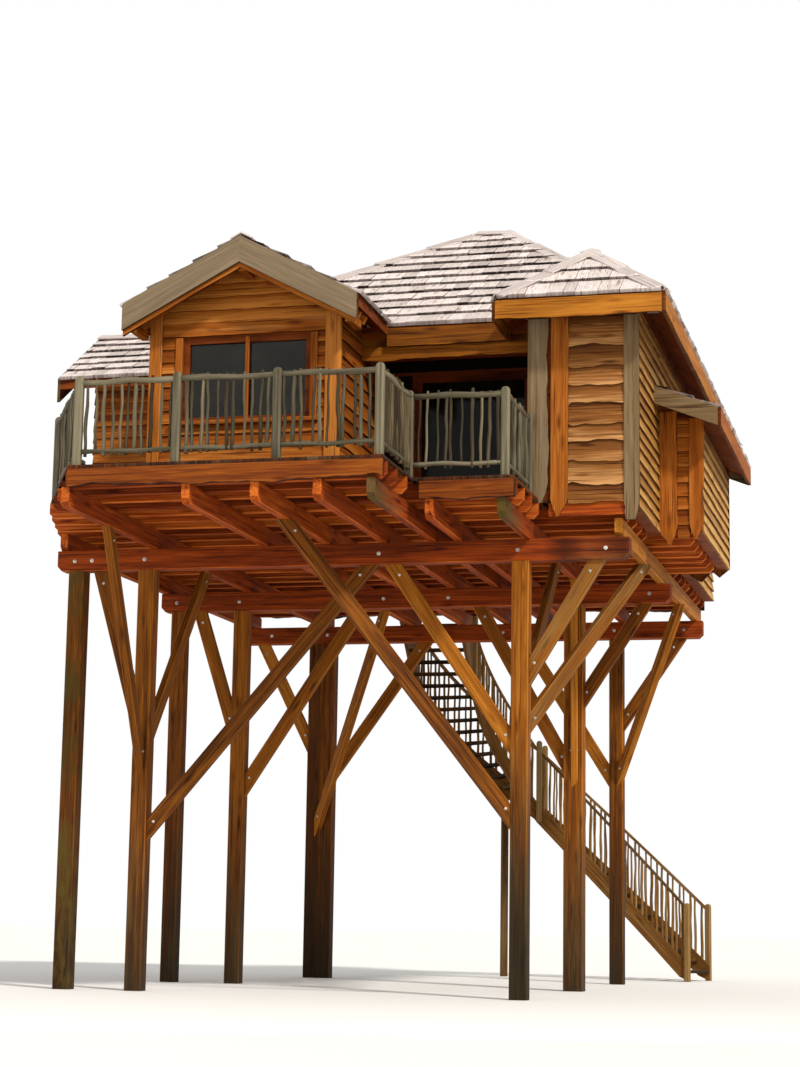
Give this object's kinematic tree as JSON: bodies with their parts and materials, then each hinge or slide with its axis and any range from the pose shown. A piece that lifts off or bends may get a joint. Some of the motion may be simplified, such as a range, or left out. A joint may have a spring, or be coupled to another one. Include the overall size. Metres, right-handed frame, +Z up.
{
  "type": "tree house",
  "caption": "Timber tree house on tall braced posts, with hipped and gabled shingle roofs, a railed deck and a turning outside stair.",
  "frame": {"origin": "middle of the foot of the front right post, on the ground", "axes": "+X to the right along the front, +Y from the front to the back, +Z up"},
  "size_m": [9.03, 14.1968, 10.5],
  "materials": {
    "frame_timber": "oiled, lightly weathered",
    "deck_timber": "rough sawn",
    "stair_timber": "rough sawn, weathered",
    "cladding": "oiled boards with waney edges",
    "weathered_timber": "greyed, bare",
    "shingles": "greyed split shingles",
    "joinery": "oiled",
    "glass": "clear"
  },
  "bodies": {
    "root": {"front_posts": "frame_timber", "middle_posts": "frame_timber", "rear_posts": "frame_timber", "main_beams": "frame_timber", "floor_girders": "frame_timber", "front_braces": "frame_timber", "middle_braces": "frame_timber", "rear_braces": "frame_timber", "girder_braces": "frame_timber", "floor_joists": "frame_timber", "rim_beams": "frame_timber", "porch_beam": "frame_timber", "deck_floor": "deck_timber", "stair_stringers": "stair_timber", "stair_treads": "stair_timber", "stair_newels": "stair_timber", "stair_railings": "stair_timber", "stair_posts": "stair_timber", "gable_front_wall": "cladding", "gable_side_wall": "cladding", "left_wall": "cladding", "porch_wall": "cladding", "bay_side_walls": "cladding", "bay_end_walls": "cladding", "right_wall": "cladding", "bump_walls": "cladding", "rear_wall": "cladding", "wing_walls": "cladding", "eave_fascias": "cladding", "railing_posts": "weathered_timber", "front_railing": "weathered_timber", "bay_railing": "weathered_timber", "left_railing": "weathered_timber", "terrace_railing": "weathered_timber", "bargeboards": "weathered_timber", "main_roof": "shingles", "gable_roof": "shingles", "wing_roof": "shingles", "bump_roof": "shingles", "window_and_door_frames": "joinery", "rear_door": "joinery", "window_glass": "glass", "porch_glass_door": "glass"}
  },
  "joints": []
}
